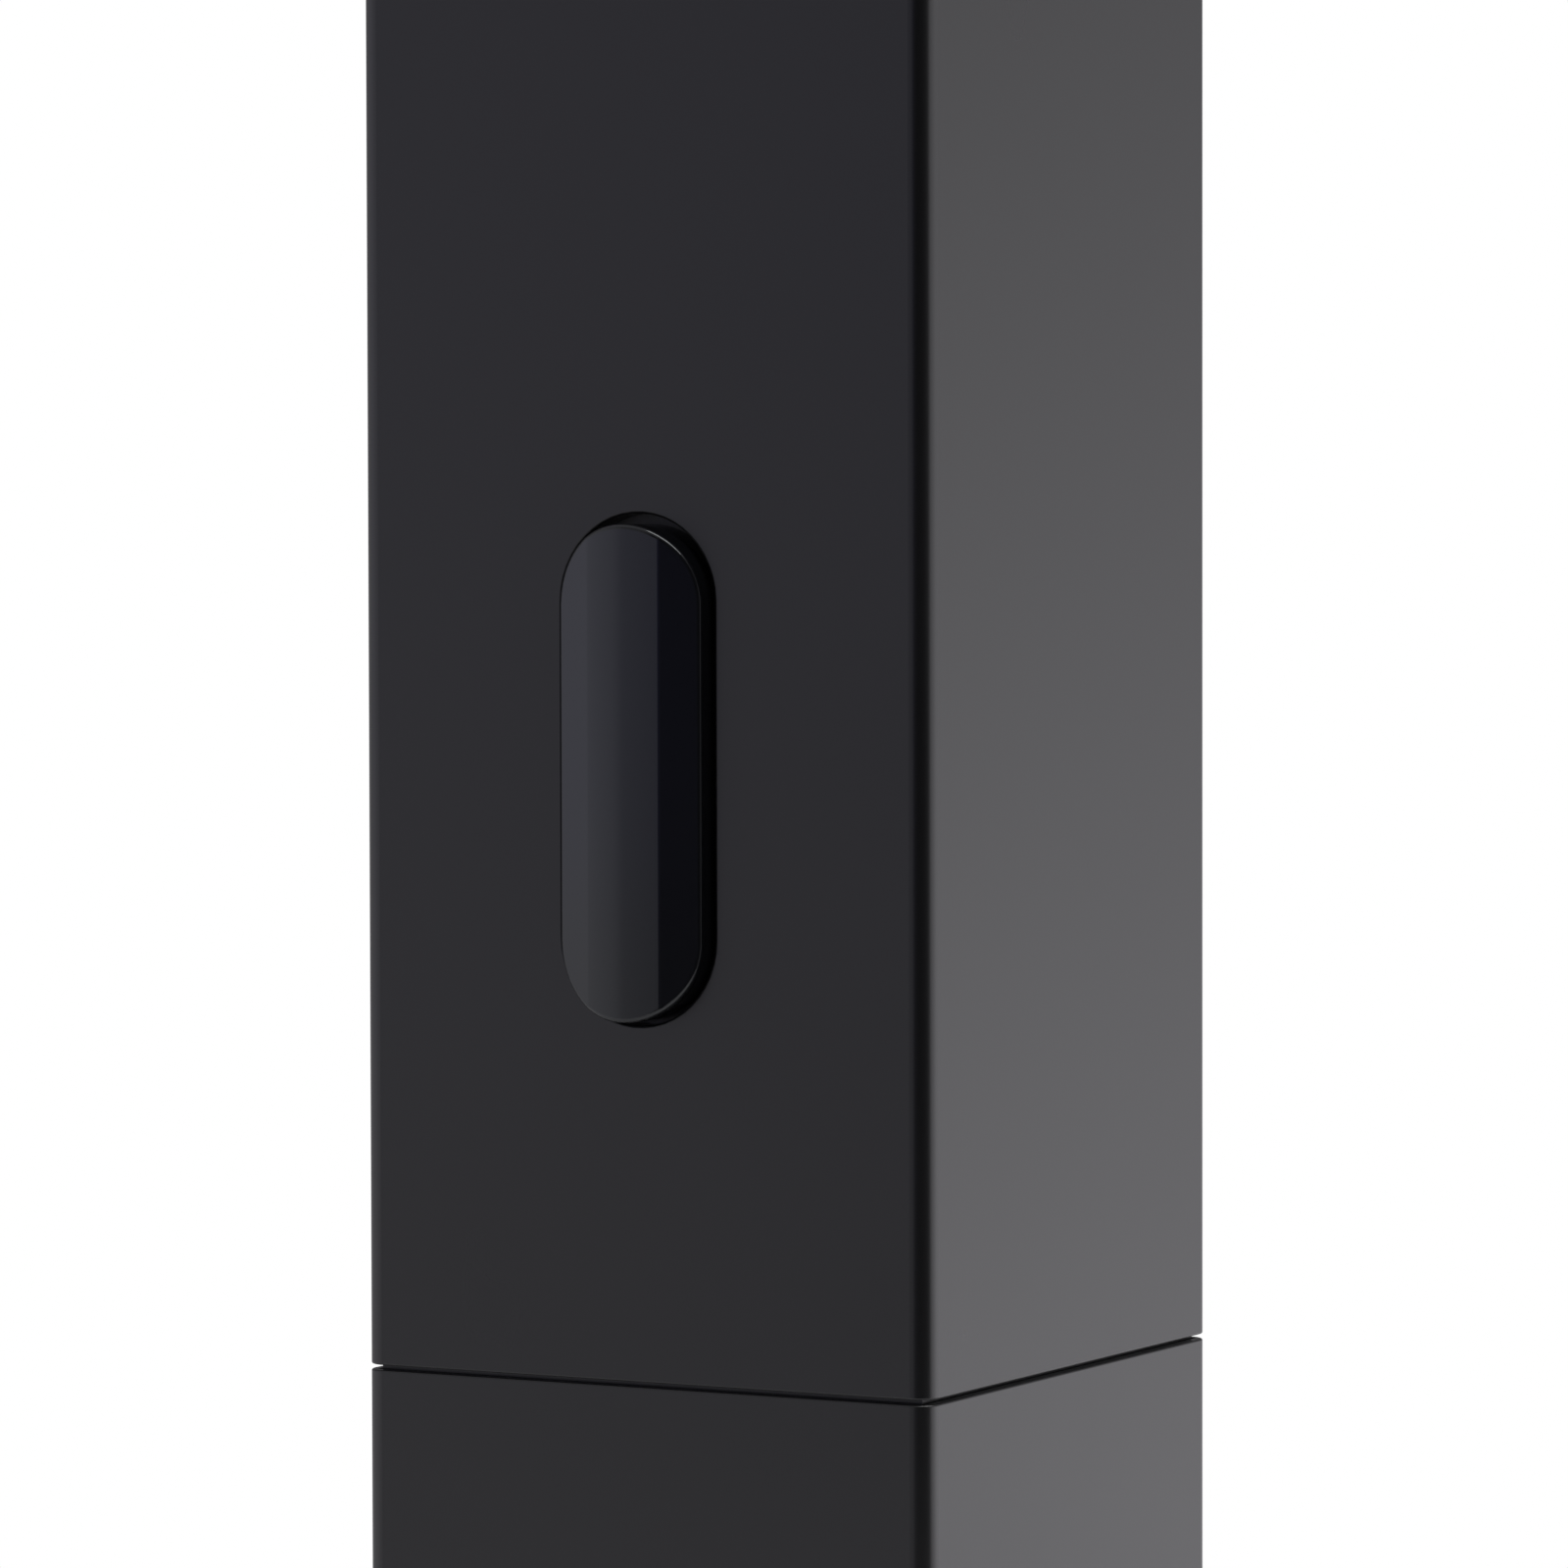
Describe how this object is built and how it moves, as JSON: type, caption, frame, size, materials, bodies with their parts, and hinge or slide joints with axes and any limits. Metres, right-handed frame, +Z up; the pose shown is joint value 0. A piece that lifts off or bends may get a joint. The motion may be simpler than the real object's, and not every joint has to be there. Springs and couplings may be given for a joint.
{
  "type": "air purifier",
  "caption": "Slim square column air purifier: slotted base with a lift-out filter, seam, tall satin casing with a long pill button, fan and outlet grille.",
  "frame": {"origin": "middle of the rubber pad's underside, on the table", "axes": "+Z up the column, -Y out of the button face, +Y out of the USB socket face"},
  "size_m": [0.046, 0.0485, 0.196],
  "materials": {
    "casing_plastic": "fine satin, black",
    "button_plastic": "polished, black",
    "inner_plastic": "moulded, dark grey",
    "white_plastic": "moulded, off-white",
    "pleated_paper": "pleated filter paper",
    "carbon_granules": "granular",
    "mesh_cloth": "fine woven mesh",
    "foam": "open foam",
    "soft_rubber": "matte",
    "nickel": "nickel plated",
    "steel": "zinc plated",
    "black_steel": "blackened screws",
    "board_green": "solder mask",
    "chip_black": "moulded epoxy",
    "ferrite": "ferrite",
    "can_aluminium": "smooth",
    "connector_nylon": "cream nylon",
    "cell_foil": "laminated foil",
    "bronze": "sintered bronze",
    "stator_iron": "laminations and windings",
    "magnet_ferrite": "bonded magnet",
    "wire_red": "insulation",
    "wire_grey": "insulation",
    "led_lens": "clear epoxy",
    "spring_steel": "spring wire"
  },
  "bodies": {
    "base": {"base_shell": "casing_plastic", "base_plate": "inner_plastic", "rubber_pad": "soft_rubber", "base_screws": "steel", "seat_gasket": "foam", "prefilter_panels": "mesh_cloth", "base_magnets": "nickel"},
    "main_unit": {"air_duct": "inner_plastic", "battery_cell": "cell_foil", "battery_connector": "connector_nylon", "battery_leads": "wire_red", "battery_pad": "foam", "battery_strap": "inner_plastic", "board_screws": "steel", "bulkhead": "inner_plastic", "button_springs": "spring_steel", "capacitors": "can_aluminium", "controller_chip": "chip_black", "fan_bearing": "bronze", "fan_board": "board_green", "fan_connector": "connector_nylon", "fan_frame": "inner_plastic", "fan_gasket": "soft_rubber", "fan_leads": "wire_grey", "fan_screws": "black_steel", "fan_stator": "stator_iron", "housing_magnets": "nickel", "housing_screws": "steel", "intake_guard": "steel", "main_board": "board_green", "main_housing": "casing_plastic", "outlet_grille": "casing_plastic", "power_inductor": "ferrite", "status_led": "led_lens", "tact_switch": "chip_black", "usb_board": "board_green", "usb_board_screws": "steel", "usb_connector": "connector_nylon", "usb_leads": "wire_grey", "usb_shell": "nickel", "usb_standoffs": "bronze", "usb_tongue": "chip_black"},
    "filter_cartridge": {"filter_media": "pleated_paper", "filter_bottom_cap": "white_plastic", "filter_top_cap": "white_plastic", "carbon_core": "carbon_granules", "filter_gasket": "foam"},
    "rotor": {"fan_rotor": "inner_plastic", "rotor_magnet": "magnet_ferrite", "fan_shaft": "steel"},
    "button": {"button_cap": "button_plastic", "button_carrier": "inner_plastic", "switch_plunger": "chip_black"}
  },
  "joints": [
    {"name": "main_unit_lift", "type": "slide", "parent": "base", "child": "main_unit", "axis": [0, 0, 1], "range_m": [0, 0.12]},
    {"name": "filter_lift", "type": "slide", "parent": "base", "child": "filter_cartridge", "axis": [0, 0, 1], "range_m": [0, 0.06]},
    {"name": "fan_spin", "type": "hinge", "parent": "main_unit", "child": "rotor", "pos_m": [0, 0, 0.181], "axis": [0, 0, 1], "continuous": true},
    {"name": "power_button", "type": "slide", "parent": "main_unit", "child": "button", "axis": [0, 1, 0], "range_m": [0, 0.0005], "stiffness_N_per_m": 1500, "springref_m": -0.0003, "deforming": ["button_springs"]}
  ],
  "couplings": [
    {"joint": "filter_lift", "follows": "main_unit_lift", "ratio": 0.5}
  ]
}
